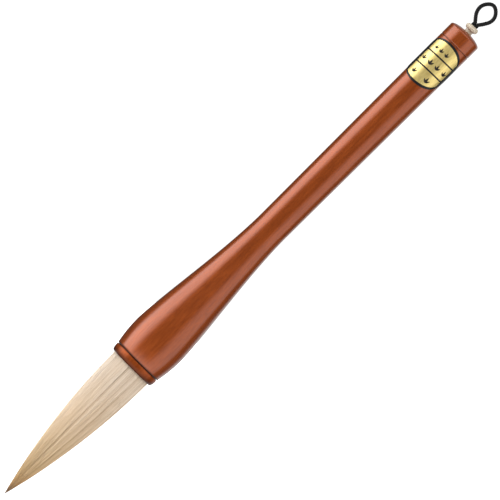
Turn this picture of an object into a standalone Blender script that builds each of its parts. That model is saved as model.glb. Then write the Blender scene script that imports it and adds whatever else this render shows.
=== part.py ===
"""A hanging calligraphy brush: turned wooden handle, layered hair tuft, end cap, bead and cord loop.

The brush hangs tip down from its cord loop, with +Z up and the origin where a hook bears, at the
top of the loop's inside. Heights in this file are measured upwards from the tip of the hair, and
z_of() turns them into Z. Run it with: blender --background --python part.py
"""

import math

import bmesh
import bpy

MM = 0.001

# Clearances
FIT_GAP = 0.3 * MM  # between two pieces that seat in or on each other
LAYER_GAP = 0.2 * MM  # between two layers of hair
BEND_GAP = 0.3 * MM  # between the still and the bending half of the tuft
KNOT_PLAY = 0.4 * MM  # round the knot in its chamber, so that it can turn

# Tuft
TUFT_LENGTH = 64.7 * MM  # hair that shows, from the tip to the mouth ring
TUFT_RADIUS = 8.3 * MM  # at the mouth ring
TUFT_FULLNESS = 0.9  # below 1 the hair swells soon after its tip, above 1 late
BEND_HEIGHT = 45.0 * MM  # height of the bend's axis above the tip
RIM_ANGLE = math.radians(55)  # how far round the ball the bending half reaches, from its lowest point
COVER_END = 15.0 * MM  # where the cover hair stops above the tip, and the mantle shows
MANTLE_END = 7.0 * MM  # where the mantle hair stops, and the core shows
LAP_LENGTH = 3.0 * MM  # over which a layer swells out again below the end of the one round it
EDGE_WALL = 0.3 * MM  # thickness of a layer at its end
COVER_WALL = 1.8 * MM  # thickness of the cover hair at the bend and above
MANTLE_WALL = 1.7 * MM  # thickness of the mantle hair there
ROOT_PINCH = 0.7 * MM  # how much narrower the bound root is than the tuft at the mouth
ROOT_DEPTH = 19.3 * MM  # length of hair above the mouth ring's front face

# Binding, seal and glue round the hair's root
THREAD_TURNS = 5
THREAD_THICKNESS = 0.7 * MM
THREAD_DEPTH = 11.5 * MM  # from the mouth ring's front face to the middle of the binding
THREAD_FLARE = 0.4 * MM  # length over which the hair spreads again on each side of it
SEAL_LENGTH = 1.3 * MM
GLUE_FLOOR = 3.3 * MM

# Mouth ring
RING_LENGTH = 3.05 * MM
RING_LIP = 0.4 * MM  # width of its flat front face
RING_STEP = 0.1 * MM  # how much lower it stands than the barrel behind it
RING_CREST = 0.35 * MM  # length of its widest part, behind the rounding
SPIGOT_WALL = 0.7 * MM
SPIGOT_LENGTH = 4.5 * MM

# Barrel
BARREL_LENGTH = 161.1 * MM
MOUTH_WALL = 1.05 * MM
BELLY_SWELL = 1.1 * MM  # belly's radius over the mouth's
BELLY_RISE = 10.9 * MM  # from the front end to the widest place
TAPER_LENGTH = 58.0 * MM  # from there to the slimmest place
TAPER_FULLNESS = 1.4  # above 1 the taper leaves the belly gently
TAPER_HOLLOW = 1.8  # above 1 it hollows out before it reaches the slimmest place
WAIST_RADIUS = 6.25 * MM
REAR_RADIUS = 6.65 * MM
EDGE_CHAMFER = 0.2 * MM  # on the edges at both seams
PEG_BORE_SPARE = 5.0 * MM  # depth of the rear bore past the peg

# End cap
CAP_LENGTH = 6.6 * MM
CAP_CROWN = 1.85 * MM  # height of its rounded top
REAR_WALL = 2.15 * MM  # barrel's wall round the peg
PEG_LENGTH = 9.0 * MM
CAP_ROOF = 5.3 * MM  # from the knot's shoulder to the cap's top

# Label
LABEL_HEIGHT = 19.3 * MM
LABEL_MARGIN = 0.4 * MM  # below the barrel's rear end
LABEL_THICKNESS = 0.12 * MM
LABEL_GAP = 0.15 * MM  # between it and the widest part of the barrel under it
LABEL_HALF_WRAP = math.radians(93)
LABEL_ARCH = math.radians(96)  # half-width of the ellipse that its ends are cut to
LABEL_TURN = math.radians(-12.5)  # from the front, towards -X

# Bead, cord and knot
CORD_DIAMETER = 1.1 * MM
BEAD_WALL = 1.0 * MM
BEAD_LENGTH = 2.3 * MM
BEAD_ROUNDING = 0.8  # how far its rounded rim reaches inwards, in half lengths
BEAD_STAND_OFF = 0.7 * MM  # from the cap to the bead
LEG_STAND = 0.55 * MM  # how far the cord's two legs reach above the bead
FLOP_GAP = 0.2 * MM  # between the legs and the ends of the loop as they turn
KNOT_LENGTH = 4.2 * MM

# Loop's centre line, up one side and down the other: across and above the place where it bends
LOOP_ROUTE = [
    (0.70, 0.0), (0.95, 0.50), (1.60, 1.37), (2.27, 2.45), (2.87, 3.55), (3.20, 5.0), (3.0, 6.4),
    (2.38, 7.5), (1.44, 8.45), (0.36, 9.03), (-0.65, 9.03), (-1.66, 8.5), (-2.56, 7.5),
    (-3.14, 6.4), (-3.36, 5.0), (-3.07, 3.55), (-2.53, 2.45), (-1.73, 1.37), (-0.98, 0.50),
    (-0.70, 0.0),
]  # fmt: skip
LOOP_TOP = 9.1 * MM  # height of the smooth curve through the route above its ends
TUBE_STEP = 2.1  # spacing of the tube's points along the route, in cord diameters

# Sizes that follow from the ones above
ROOT_RADIUS = TUFT_RADIUS - ROOT_PINCH
SPIGOT_RADIUS = ROOT_RADIUS + FIT_GAP + SPIGOT_WALL
SOCKET_RADIUS = SPIGOT_RADIUS + FIT_GAP
MOUTH_RADIUS = SOCKET_RADIUS + MOUTH_WALL
BELLY_RADIUS = MOUTH_RADIUS + BELLY_SWELL
RING_RADIUS = MOUTH_RADIUS - RING_STEP
PEG_BORE_RADIUS = REAR_RADIUS - REAR_WALL
PEG_RADIUS = PEG_BORE_RADIUS - FIT_GAP
LEG_OFFSET = (CORD_DIAMETER + FIT_GAP) / 2
CORD_BORE_RADIUS = LEG_OFFSET + CORD_DIAMETER / 2 + FIT_GAP
BEAD_RADIUS = CORD_BORE_RADIUS + BEAD_WALL
KNOT_RADIUS = 2 * CORD_DIAMETER
CHAMBER_RADIUS = KNOT_RADIUS + KNOT_PLAY

RING_BACK = TUFT_LENGTH + RING_LENGTH
ROOT_END = TUFT_LENGTH + ROOT_DEPTH
SEAL_END = ROOT_END + FIT_GAP + SEAL_LENGTH
GLUE_END = SEAL_END + FIT_GAP + GLUE_FLOOR
BARREL_FRONT = RING_BACK + FIT_GAP
BARREL_REAR = BARREL_FRONT + BARREL_LENGTH
BELLY_HEIGHT = BARREL_FRONT + BELLY_RISE
WAIST_HEIGHT = BELLY_HEIGHT + TAPER_LENGTH
CAP_BACK = BARREL_REAR + FIT_GAP
CAP_TOP = CAP_BACK + CAP_LENGTH
KNOT_SHOULDER = CAP_TOP - CAP_ROOF
BEAD_BOTTOM = CAP_TOP + BEAD_STAND_OFF
BEAD_TOP = BEAD_BOTTOM + BEAD_LENGTH
LEG_TOP = BEAD_TOP + LEG_STAND
FLOP_HEIGHT = LEG_TOP + CORD_DIAMETER / 2 + FLOP_GAP
HOOK_HEIGHT = FLOP_HEIGHT + LOOP_TOP - CORD_DIAMETER / 2

# Facets round each piece
OUTER_SIDES = 36
HAIR_SIDES = 28
INNER_SIDES = 20
MERGE_DISTANCE = 1e-7
SHARP_ANGLE = math.radians(35)


def z_of(height):
    """Turns a height above the tip into Z, with the hook's place at Z = 0."""
    return height - HOOK_HEIGHT


def ramp(value, start, end, low, high):
    """Rises evenly from low at start to high at end, and stays level outside them."""
    share = min(1.0, max(0.0, (value - start) / (end - start)))
    return low + (high - low) * share


def spread(start, end, count):
    """count numbers from start to end, evenly spaced."""
    return [start + (end - start) * i / (count - 1) for i in range(count)]


# Profiles ---------------------------------------------------------------------------------------


def bundle_radius(height):
    """Outer radius of the hair: a pointed arch up to the mouth ring, then pinched into its bore."""
    if height <= TUFT_LENGTH:
        share = max(0.0, height / TUFT_LENGTH)
        return TUFT_RADIUS * math.sin(math.pi / 2 * share**TUFT_FULLNESS)
    return ramp(height, TUFT_LENGTH, RING_BACK, TUFT_RADIUS, ROOT_RADIUS)


def layer_wall(height, end, wall):
    """Thickness of a hair layer, which thins towards the end where it stops."""
    return ramp(height, end, BEND_HEIGHT, EDGE_WALL, wall)


def layer_depth(height, end, wall):
    """How deep the next layer lies under a layer that stops at end: it comes to the surface below it."""
    if height < end:
        return ramp(height, end - LAP_LENGTH, end, 0.0, EDGE_WALL + LAYER_GAP)
    return layer_wall(height, end, wall) + LAYER_GAP


def cover_inside(height):
    """Inner radius of the cover hair."""
    return bundle_radius(height) - layer_wall(height, COVER_END, COVER_WALL)


def mantle_outside(height):
    """Outer radius of the mantle hair."""
    return bundle_radius(height) - layer_depth(height, COVER_END, COVER_WALL)


def mantle_inside(height):
    """Inner radius of the mantle hair."""
    return mantle_outside(height) - layer_wall(height, MANTLE_END, MANTLE_WALL)


def core_outside(height):
    """Outer radius of the core hair."""
    return mantle_outside(height) - layer_depth(height, MANTLE_END, MANTLE_WALL)


def barrel_radius(height):
    """Outer radius of the barrel: mouth, belly, long hollow taper, then a slightly widening shaft."""
    if height < BELLY_HEIGHT:
        short = (BELLY_HEIGHT - height) / BELLY_RISE
        return BELLY_RADIUS - BELLY_SWELL * short**2
    if height < WAIST_HEIGHT:
        along = (height - BELLY_HEIGHT) / TAPER_LENGTH
        return WAIST_RADIUS + (BELLY_RADIUS - WAIST_RADIUS) * (1 - along**TAPER_FULLNESS) ** TAPER_HOLLOW
    return ramp(height, WAIST_HEIGHT, BARREL_REAR, WAIST_RADIUS, REAR_RADIUS)


def up(curve, low, high, count):
    """Outline points along a curve, from the low height to the high one."""
    return [(curve(h), h) for h in spread(low, high, count)]


def quarter(centre, size, start, end, count):
    """Outline points on an ellipse, at angles from start to end, turned from +radius to +height."""
    angles = spread(start, end, count)
    return [(centre[0] + size[0] * math.cos(a), centre[1] + size[1] * math.sin(a)) for a in angles]


def ball_height(radius, ball):
    """Height of a ball's underside at a radius. The ball is centred on the bend's axis."""
    return BEND_HEIGHT - math.sqrt(max(0.0, ball**2 - radius**2))


def meet(curve, ball):
    """Height at which a hair profile meets the underside of a ball centred on the bend's axis."""
    low, high = BEND_HEIGHT - ball, BEND_HEIGHT
    for _ in range(50):
        middle = (low + high) / 2
        outside = curve(middle) ** 2 + (BEND_HEIGHT - middle) ** 2 > ball**2
        low, high = (middle, high) if outside else (low, middle)
    return high


def ball_arc(radius_from, radius_to, ball, count):
    """Outline points along a ball's underside between two radii, without the two ends."""
    angles = spread(math.asin(radius_from / ball), math.asin(radius_to / ball), count)
    return [(ball * math.sin(a), BEND_HEIGHT - ball * math.cos(a)) for a in angles[1:-1]]


# Makers -----------------------------------------------------------------------------------------


def clear_scene():
    """Removes every object, so that only the brush is left."""
    for item in list(bpy.data.objects):
        bpy.data.objects.remove(item, do_unlink=True)


def finish(name, colour, roughness, metallic=0.0):
    """A plain Principled material."""
    material = bpy.data.materials.new(name)
    material.use_nodes = True
    shader = material.node_tree.nodes["Principled BSDF"]
    shader.inputs["Base Color"].default_value = (*colour, 1.0)
    shader.inputs["Roughness"].default_value = roughness
    shader.inputs["Metallic"].default_value = metallic
    return material


def axis_empty(name, height, parent=None):
    """An empty on a joint's axis, which carries the pieces that the joint moves."""
    empty = bpy.data.objects.new(name, None)
    bpy.context.scene.collection.objects.link(empty)
    empty["z"] = z_of(height)
    empty.location.z = empty["z"] - (parent["z"] if parent else 0.0)
    empty.parent = parent
    return empty


def add_piece(name, data, material, carrier):
    """Links a piece under the empty that carries it."""
    piece = bpy.data.objects.new(name, data)
    bpy.context.scene.collection.objects.link(piece)
    piece.parent = carrier
    data.materials.append(material)
    return piece


def turned(name, outline, material, carrier, sides):
    """A solid of revolution about Z. The outline runs from axis to axis, or closes on itself."""
    body = bmesh.new()
    points = [body.verts.new((radius, 0.0, z_of(h) - carrier["z"])) for radius, h in outline]
    edges = [body.edges.new(pair) for pair in zip(points, points[1:])]
    if outline[0][0] > MERGE_DISTANCE:
        edges.append(body.edges.new((points[-1], points[0])))
    bmesh.ops.spin(
        body,
        geom=points + edges,
        cent=(0.0, 0.0, 0.0),
        axis=(0.0, 0.0, 1.0),
        angle=2 * math.pi,
        steps=sides,
    )
    bmesh.ops.remove_doubles(body, verts=body.verts, dist=MERGE_DISTANCE)
    bmesh.ops.recalc_face_normals(body, faces=body.faces)
    mesh = bpy.data.meshes.new(name)
    body.to_mesh(mesh)
    body.free()
    mesh.shade_smooth()
    mesh.set_sharp_from_angle(angle=SHARP_ANGLE)
    return add_piece(name, mesh, material, carrier)


def tube(name, points, material, carrier):
    """A stretch of cord through the points, given in metres from its carrier."""
    curve = bpy.data.curves.new(name, "CURVE")
    curve.dimensions = "3D"
    curve.bevel_depth = CORD_DIAMETER / 2
    curve.bevel_resolution = 2
    curve.use_fill_caps = True
    line = curve.splines.new("POLY")
    line.points.add(len(points) - 1)
    for place, point in zip(line.points, points):
        place.co = (*point, 1.0)
    return add_piece(name, curve, material, carrier)


def bent(t, before, a, b, after):
    """Value at t between a and b on the smooth curve that also minds their two neighbours."""
    slope = (b - before) / 2
    square = before - 2.5 * a + 2 * b - after / 2
    cube = 1.5 * (a - b) + (after - before) / 2
    return a + t * (slope + t * (square + t * cube))


def smooth_line(points, step):
    """Points about a step apart on the smooth curve through the given ones."""
    fine = []
    padded = [points[0], *points, points[-1]]
    for stretch in zip(padded, padded[1:], padded[2:], padded[3:]):
        fine += [tuple(bent(t, *values) for values in zip(*stretch)) for t in spread(0.0, 0.9, 10)]
    fine.append(points[-1])
    far = [0.0]
    for a, b in zip(fine, fine[1:]):
        far.append(far[-1] + math.dist(a, b))
    count = max(2, round(far[-1] / step) + 1)
    picked = [min(range(len(far)), key=lambda i: abs(far[i] - d)) for d in spread(0.0, far[-1], count)]
    return [fine[i] for i in picked]


# Pieces -----------------------------------------------------------------------------------------


def handle_barrel(material, carrier):
    """The turned wooden handle, bored in front for the tuft and behind for the cap's peg."""
    socket_end = GLUE_END + FIT_GAP
    bore_end = BARREL_REAR - FIT_GAP - PEG_LENGTH - PEG_BORE_SPARE
    outline = [
        (0.0, socket_end),
        (SOCKET_RADIUS, socket_end),
        (SOCKET_RADIUS, BARREL_FRONT),
        (MOUTH_RADIUS - EDGE_CHAMFER, BARREL_FRONT),
        *up(barrel_radius, BARREL_FRONT + EDGE_CHAMFER, BELLY_HEIGHT, 7),
        *up(barrel_radius, BELLY_HEIGHT, WAIST_HEIGHT, 17)[1:],
        *up(barrel_radius, WAIST_HEIGHT, BARREL_REAR - EDGE_CHAMFER, 4)[1:],
        (REAR_RADIUS - EDGE_CHAMFER, BARREL_REAR),
        (PEG_BORE_RADIUS, BARREL_REAR),
        (PEG_BORE_RADIUS, bore_end),
        (0.0, bore_end),
    ]
    turned("handle_barrel", outline, material, carrier, OUTER_SIDES)


def mouth_ring(material, carrier):
    """The rounded ring at the barrel's mouth, with a flared bore and a spigot in the barrel's socket."""
    mouth = TUFT_RADIUS + FIT_GAP
    root = ROOT_RADIUS + FIT_GAP
    lip = mouth + RING_LIP
    crest = RING_BACK - EDGE_CHAMFER - RING_CREST
    outline = [
        (mouth, TUFT_LENGTH),
        *quarter((lip, crest), (RING_RADIUS - lip, TUFT_LENGTH - crest), math.pi / 2, 0.0, 7),
        (RING_RADIUS, RING_BACK - EDGE_CHAMFER),
        (RING_RADIUS - EDGE_CHAMFER, RING_BACK),
        (SPIGOT_RADIUS, RING_BACK),
        (SPIGOT_RADIUS, RING_BACK + SPIGOT_LENGTH),
        (root, RING_BACK + SPIGOT_LENGTH),
        (root, RING_BACK),
    ]
    turned("mouth_ring", outline, material, carrier, OUTER_SIDES)


def end_cap(material, carrier):
    """The rounded cap, whose hollow peg sits in the barrel's rear bore and holds the cord's knot."""
    peg_end = CAP_BACK - PEG_LENGTH
    crown = CAP_TOP - CAP_CROWN
    hole_angle = math.acos(CORD_BORE_RADIUS / REAR_RADIUS)
    outline = [
        (CHAMBER_RADIUS, peg_end),
        (PEG_RADIUS, peg_end),
        (PEG_RADIUS, CAP_BACK),
        (REAR_RADIUS - EDGE_CHAMFER, CAP_BACK),
        (REAR_RADIUS, CAP_BACK + EDGE_CHAMFER),
        *quarter((0.0, crown), (REAR_RADIUS, CAP_CROWN), 0.0, hole_angle, 8),
        (CORD_BORE_RADIUS, KNOT_SHOULDER),
        (CHAMBER_RADIUS, KNOT_SHOULDER),
    ]
    turned("end_cap", outline, material, carrier, OUTER_SIDES)


def label(material, carrier):
    """The foil label: a thin oval sheet wrapped about half of the way round."""
    middle = BARREL_REAR - LABEL_MARGIN - LABEL_HEIGHT / 2
    widest = max(barrel_radius(middle - LABEL_HEIGHT / 2), REAR_RADIUS)
    radius = widest + LABEL_GAP + LABEL_THICKNESS
    sheet = bmesh.new()
    columns = []
    for angle in spread(-LABEL_HALF_WRAP, LABEL_HALF_WRAP, 33):
        half = LABEL_HEIGHT / 2 * math.sqrt(1 - (angle / LABEL_ARCH) ** 2)
        x = radius * math.sin(angle + LABEL_TURN)
        y = -radius * math.cos(angle + LABEL_TURN)
        columns.append([sheet.verts.new((x, y, z_of(middle + h) - carrier["z"])) for h in (-half, half)])
    for (low_a, high_a), (low_b, high_b) in zip(columns, columns[1:]):
        sheet.faces.new((low_a, low_b, high_b, high_a))
    mesh = bpy.data.meshes.new("label")
    sheet.to_mesh(mesh)
    sheet.free()
    piece = add_piece("label", mesh, material, carrier)
    wall = piece.modifiers.new("paper", "SOLIDIFY")
    wall.thickness = LABEL_THICKNESS
    wall.offset = -1.0


def hair_roots(finishes, carrier, ball):
    """The upper, still halves of the three hair layers, rounded below into one ball."""
    thread_low, thread_high = thread_span()
    waist = ROOT_RADIUS - THREAD_THICKNESS - FIT_GAP
    cover_low = meet(cover_inside, ball)
    cover = [
        *ball_arc(cover_inside(cover_low), ball, ball, 5),
        *up(bundle_radius, BEND_HEIGHT, TUFT_LENGTH, 6),
        (ROOT_RADIUS, RING_BACK),
        (ROOT_RADIUS, thread_low - THREAD_FLARE),
        (waist, thread_low),
        (waist, thread_high),
        (ROOT_RADIUS, thread_high + THREAD_FLARE),
        (ROOT_RADIUS, ROOT_END),
        (cover_inside(ROOT_END), ROOT_END),
        (cover_inside(RING_BACK), RING_BACK),
        *up(cover_inside, TUFT_LENGTH, cover_low, 5),
    ]
    turned("cover_hair_root", cover, finishes["cover"], carrier, HAIR_SIDES)
    mantle_low, mantle_core = meet(mantle_outside, ball), meet(mantle_inside, ball)
    mantle = [
        *ball_arc(mantle_inside(mantle_core), mantle_outside(mantle_low), ball, 5),
        *up(mantle_outside, mantle_low, TUFT_LENGTH, 6),
        (mantle_outside(RING_BACK), RING_BACK),
        (mantle_outside(ROOT_END), ROOT_END),
        (mantle_inside(ROOT_END), ROOT_END),
        (mantle_inside(RING_BACK), RING_BACK),
        *up(mantle_inside, TUFT_LENGTH, mantle_core, 6),
    ]
    turned("mantle_hair_root", mantle, finishes["mantle"], carrier, INNER_SIDES)
    core_low = meet(core_outside, ball)
    core = [
        (0.0, BEND_HEIGHT - ball),
        *ball_arc(0.0, core_outside(core_low), ball, 4),
        *up(core_outside, core_low, TUFT_LENGTH, 6),
        (core_outside(RING_BACK), RING_BACK),
        (core_outside(ROOT_END), ROOT_END),
        (0.0, ROOT_END),
    ]
    turned("core_hair_root", core, finishes["core"], carrier, INNER_SIDES)


def hair_tips(finishes, carrier, ball):
    """The lower, bending halves of the three hair layers, hollowed above to clear the ball."""
    rim = BEND_HEIGHT - ball * math.cos(RIM_ANGLE)
    rim_radius = ball * math.sin(RIM_ANGLE)
    cover_top = meet(cover_inside, ball)
    cover = [
        *up(bundle_radius, COVER_END, rim, 9),
        (rim_radius, rim),
        *ball_arc(rim_radius, cover_inside(cover_top), ball, 4),
        *up(cover_inside, cover_top, COVER_END, 7),
    ]
    turned("cover_hair_tip", cover, finishes["cover"], carrier, HAIR_SIDES)
    mantle_top, mantle_core = meet(mantle_outside, ball), meet(mantle_inside, ball)
    mantle = [
        *up(mantle_outside, MANTLE_END, COVER_END - LAP_LENGTH, 4),
        *up(mantle_outside, COVER_END, mantle_top, 7),
        *ball_arc(mantle_outside(mantle_top), mantle_inside(mantle_core), ball, 5),
        *up(mantle_inside, mantle_core, COVER_END, 6),
        *up(mantle_inside, COVER_END - LAP_LENGTH, MANTLE_END, 3),
    ]
    turned("mantle_hair_tip", mantle, finishes["mantle"], carrier, INNER_SIDES)
    core_top = meet(core_outside, ball)
    core = [
        (0.0, 0.0),
        *up(core_outside, 0.0, MANTLE_END - LAP_LENGTH, 4)[1:],
        *up(core_outside, MANTLE_END, COVER_END - LAP_LENGTH, 3),
        *up(core_outside, COVER_END, core_top, 7),
        *ball_arc(core_outside(core_top), 0.0, ball, 4),
        (0.0, BEND_HEIGHT - ball),
    ]
    turned("core_hair_tip", core, finishes["core"], carrier, INNER_SIDES)


def thread_span():
    """Lowest and highest place of the groove that the binding thread lies in."""
    middle = TUFT_LENGTH + THREAD_DEPTH
    half = THREAD_TURNS * THREAD_THICKNESS / 2 + FIT_GAP
    return middle - half, middle + half


def root_thread(material, carrier):
    """The thread that binds the hair's root: turns side by side, as one ridged ring."""
    inside = ROOT_RADIUS - THREAD_THICKNESS
    start = thread_span()[0] + FIT_GAP
    outline = [(inside, start)]
    for turn in range(THREAD_TURNS):
        centre = (ROOT_RADIUS - THREAD_THICKNESS / 2, start + (turn + 0.5) * THREAD_THICKNESS)
        size = (THREAD_THICKNESS / 2, THREAD_THICKNESS / 2)
        ridge = quarter(centre, size, -math.pi / 2, math.pi / 2, 5)
        outline += ridge if turn == 0 else ridge[1:]
    outline.append((inside, start + THREAD_TURNS * THREAD_THICKNESS))
    turned("root_thread", outline, material, carrier, INNER_SIDES)


def root_seal(material, carrier):
    """The rosin disc that seals the ends of the hairs."""
    low = ROOT_END + FIT_GAP
    edge = SEAL_LENGTH / 3
    outline = [
        (0.0, low),
        (ROOT_RADIUS, low),
        (ROOT_RADIUS, SEAL_END - edge),
        (ROOT_RADIUS - edge, SEAL_END),
        (0.0, SEAL_END),
    ]
    turned("root_seal", outline, material, carrier, INNER_SIDES)


def glue_bed(material, carrier):
    """The glue that holds the hair's root in the socket: a floor over the seal and a thin sleeve."""
    outside, inside = SOCKET_RADIUS - FIT_GAP, ROOT_RADIUS + FIT_GAP
    low = RING_BACK + SPIGOT_LENGTH + FIT_GAP
    floor = SEAL_END + FIT_GAP
    outline = [
        (0.0, floor),
        (inside, floor),
        (inside, low),
        (outside, low),
        (outside, GLUE_END),
        (0.0, GLUE_END),
    ]
    turned("glue_bed", outline, material, carrier, INNER_SIDES)


def cord_and_knot(material, carrier):
    """The two legs of the cord, from the knot's chamber up through the cap and the bead, and the knot."""
    for side, name in ((-1, "cord_leg_left"), (1, "cord_leg_right")):
        ends = spread(z_of(KNOT_SHOULDER), z_of(LEG_TOP), 5)
        points = [(side * LEG_OFFSET, 0.0, z - carrier["z"]) for z in ends]
        tube(name, points, material, carrier)
    top = KNOT_SHOULDER - FIT_GAP
    ridge = KNOT_LENGTH / 4
    lower = quarter((KNOT_RADIUS - ridge, top - 3 * ridge), (ridge, ridge), -math.pi / 2, math.pi / 2, 7)
    upper = [(radius, height + 2 * ridge) for radius, height in lower[1:]]
    outline = [(0.0, top - KNOT_LENGTH), *lower, *upper, (0.0, top)]
    turned("cord_knot", outline, material, carrier, INNER_SIDES)


def bead(material, carrier):
    """The flat round bead that gathers the two legs of the cord."""
    rim = BEAD_LENGTH / 2
    depth = rim * BEAD_ROUNDING
    centre = (BEAD_RADIUS - depth, BEAD_BOTTOM + rim)
    outline = [
        (CORD_BORE_RADIUS, BEAD_BOTTOM),
        *quarter(centre, (depth, rim), -math.pi / 2, math.pi / 2, 9),
        (CORD_BORE_RADIUS, BEAD_TOP),
    ]
    turned("bead", outline, material, carrier, INNER_SIDES)


def hanging_loop(material, carrier):
    """The loop of cord above the bead, in the XZ plane."""
    route = [(x * MM, 0.0, h * MM) for x, h in LOOP_ROUTE]
    tube("hanging_loop", smooth_line(route, TUBE_STEP * CORD_DIAMETER), material, carrier)


def main():
    """Builds the brush."""
    clear_scene()
    wood = finish("reddish_wood", (0.30, 0.062, 0.018), 0.28)
    ring_wood = finish("ring_wood", (0.22, 0.040, 0.012), 0.30)
    foil = finish("gold_foil", (0.78, 0.64, 0.30), 0.35, metallic=0.7)
    hairs = {
        "cover": finish("cover_hair", (0.72, 0.60, 0.44), 0.6),
        "mantle": finish("mantle_hair", (0.52, 0.36, 0.19), 0.6),
        "core": finish("core_hair", (0.20, 0.105, 0.05), 0.6),
    }
    thread = finish("binding_thread", (0.60, 0.55, 0.45), 0.8)
    rosin = finish("rosin", (0.16, 0.07, 0.025), 0.25)
    glue = finish("glue", (0.45, 0.28, 0.12), 0.4)
    ivory = finish("ivory", (0.75, 0.69, 0.57), 0.4)
    cord = finish("black_cord", (0.012, 0.012, 0.014), 0.8)

    handle = axis_empty("handle_axis", HOOK_HEIGHT)
    tuft = axis_empty("tuft_bend_axis", BEND_HEIGHT, handle)
    turning_cord = axis_empty("cord_turn_axis", KNOT_SHOULDER, handle)
    sliding_bead = axis_empty("bead_slide_axis", BEAD_BOTTOM, turning_cord)
    flopping_loop = axis_empty("loop_flop_axis", FLOP_HEIGHT, turning_cord)

    handle_barrel(wood, handle)
    mouth_ring(ring_wood, handle)
    end_cap(wood.copy(), handle)
    label(foil, handle)
    ball = bundle_radius(BEND_HEIGHT)
    hair_roots(hairs, handle, ball)
    hair_tips(hairs, tuft, ball + BEND_GAP)
    root_thread(thread, handle)
    root_seal(rosin, handle)
    glue_bed(glue, handle)
    cord_and_knot(cord, turning_cord)
    bead(ivory, sliding_bead)
    hanging_loop(cord, flopping_loop)


main()
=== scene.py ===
"""Looks of a hanging calligraphy brush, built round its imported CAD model.

The brush hangs tip down, with +Z up and the origin under the hook, at the top of the cord loop's
inside. Lengths are in metres. A part's place and size are read from the CAD nodes, and its finer
shape is modelled here.
"""

import logging
import math
from collections.abc import Callable, Sequence
from dataclasses import dataclass
from enum import Enum

import bpy
import numpy as np
from mathutils import Matrix, Vector
from mathutils.geometry import interpolate_bezier


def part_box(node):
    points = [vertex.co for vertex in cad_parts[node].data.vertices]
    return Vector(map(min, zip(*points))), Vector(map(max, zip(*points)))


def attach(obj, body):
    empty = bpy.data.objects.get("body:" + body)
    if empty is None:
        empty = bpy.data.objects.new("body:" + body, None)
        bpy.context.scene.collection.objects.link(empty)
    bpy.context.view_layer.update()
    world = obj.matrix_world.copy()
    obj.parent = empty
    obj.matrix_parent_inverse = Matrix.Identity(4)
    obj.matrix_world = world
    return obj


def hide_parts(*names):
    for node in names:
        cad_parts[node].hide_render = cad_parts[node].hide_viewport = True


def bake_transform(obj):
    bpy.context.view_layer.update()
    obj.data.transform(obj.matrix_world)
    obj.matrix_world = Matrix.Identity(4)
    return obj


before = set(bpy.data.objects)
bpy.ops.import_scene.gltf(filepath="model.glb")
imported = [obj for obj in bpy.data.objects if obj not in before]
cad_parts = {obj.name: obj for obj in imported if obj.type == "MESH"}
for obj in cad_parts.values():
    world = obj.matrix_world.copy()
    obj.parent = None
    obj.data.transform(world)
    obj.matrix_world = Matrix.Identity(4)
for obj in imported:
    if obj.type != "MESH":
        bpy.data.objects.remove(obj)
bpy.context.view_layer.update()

log = logging.getLogger("brush")

MM = 0.001
MERGE_DISTANCE = 1e-6
REAR_RADIUS = 6.65 * MM  # of the barrel and its cap, where they meet
SHARP_ANGLE = math.radians(38)

Pair = tuple[float, float]
Colour = tuple[float, float, float]
Scale = tuple[float, float, float]
Outline = list[Pair]
Profile = Callable[[float], float]
Input = float | tuple[float, ...] | bpy.types.NodeSocket


class Body(Enum):
    """The CAD bodies that pieces ride on."""

    HANDLE = "handle"
    TUFT = "tuft"
    CORD = "cord"
    LOOP = "loop"
    BEAD = "bead"


# Workbench --------------------------------------------------------------------------------------


def spread(start: float, end: float, count: int) -> list[float]:
    """Evenly spaced numbers.

    Args:
        start: The first number.
        end: The last number.
        count: How many there are.

    Returns:
        The numbers, in order.
    """
    return [start + (end - start) * i / (count - 1) for i in range(count)]


def ease(value: float, start: float, end: float) -> float:
    """Rises smoothly from 0 at start to 1 at end.

    Args:
        value: Where to look.
        start: Where the rise starts.
        end: Where it ends.

    Returns:
        A share from 0 to 1.
    """
    share = min(1.0, max(0.0, (value - start) / (end - start)))
    return share * share * (3.0 - 2.0 * share)


def quarter(centre: Pair, size: Pair, turn: Pair, count: int) -> Outline:
    """Outline points on an ellipse.

    Args:
        centre: Radius and height of the ellipse's centre.
        size: Its half sizes, across and up.
        turn: The first and last angle, from +radius towards +height.
        count: How many points there are.

    Returns:
        The points, in order.
    """
    (radius, height), (across, up) = centre, size
    return [(radius + across * math.cos(a), height + up * math.sin(a)) for a in spread(*turn, count)]


def along(profile: Profile, low: float, high: float, count: int) -> Outline:
    """Outline points on a profile, evenly spaced between two heights."""
    return [(profile(h), h) for h in spread(low, high, count)]


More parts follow.
